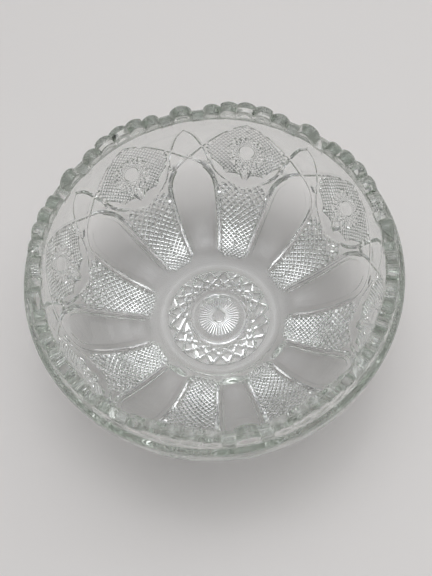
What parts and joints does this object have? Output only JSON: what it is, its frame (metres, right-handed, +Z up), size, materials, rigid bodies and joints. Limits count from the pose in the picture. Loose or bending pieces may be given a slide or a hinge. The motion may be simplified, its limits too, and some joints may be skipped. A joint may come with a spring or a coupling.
{
  "type": "punch bowl",
  "caption": "Round pressed-glass punch bowl with petal flutes, starred panels and a scalloped crown, standing on a low foot ring.",
  "frame": {"origin": "centre of the circle on which the foot ring stands, on the bowl's axis", "axes": "+Z up along the bowl's axis; +X and +Y each pass through the middle of a petal flute"},
  "size_m": [0.2452, 0.2452, 0.1035],
  "materials": {
    "pressed_glass": "clear, fire polished inside, pressed pattern outside, grey-green where it is seen edge on"
  },
  "bodies": {
    "root": {"bowl_shell": "pressed_glass", "scalloped_rim": "pressed_glass", "foot_ring": "pressed_glass", "star_medallion": "pressed_glass"}
  },
  "joints": []
}
